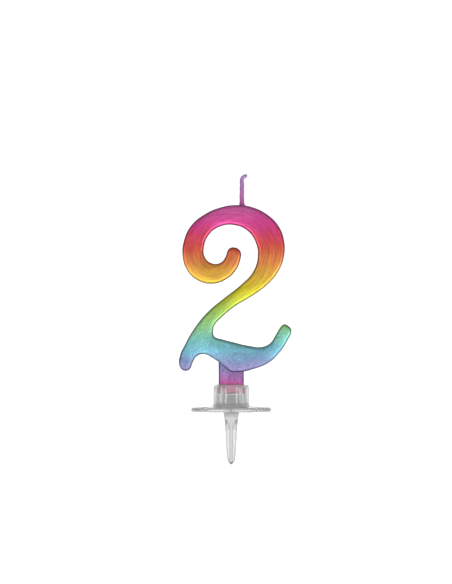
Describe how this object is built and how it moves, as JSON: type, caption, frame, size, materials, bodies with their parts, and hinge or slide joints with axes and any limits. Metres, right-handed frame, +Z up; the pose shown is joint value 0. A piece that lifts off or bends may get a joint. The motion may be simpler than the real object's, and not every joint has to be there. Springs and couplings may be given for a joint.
{
  "type": "number birthday candle",
  "caption": "Flat cast figure-two cake candle with a bent wick, its stem seated in a clear flower-disc cup on a cake spike.",
  "frame": {"origin": "centre of the flower disc's underside, on the spike's axis, where the spike enters the cake", "axes": "+Z up along the spike and the stem, +X to the right as the figure is read, and the figure faces -Y"},
  "size_m": [0.0385, 0.0252, 0.1002],
  "materials": {
    "rainbow_lacquer": "satin metallic lacquer on cast wax, running pink, orange, yellow, green, blue, violet and pink from the crown to the stem",
    "waxed_wick": "cotton wick coated in the same violet lacquer",
    "clear_cup_plastic": "polished clear injection moulding",
    "clear_spike_plastic": "clear injection moulding, slightly milky"
  },
  "bodies": {
    "holder": {"candle_cup": "clear_cup_plastic", "cake_spike": "clear_spike_plastic"},
    "candle": {"wax_digit": "rainbow_lacquer", "wick": "waxed_wick"}
  },
  "joints": [
    {"name": "stem_lift", "type": "slide", "parent": "holder", "child": "candle", "axis": [0, 0, 1], "range_m": [0, 0.0043]}
  ]
}
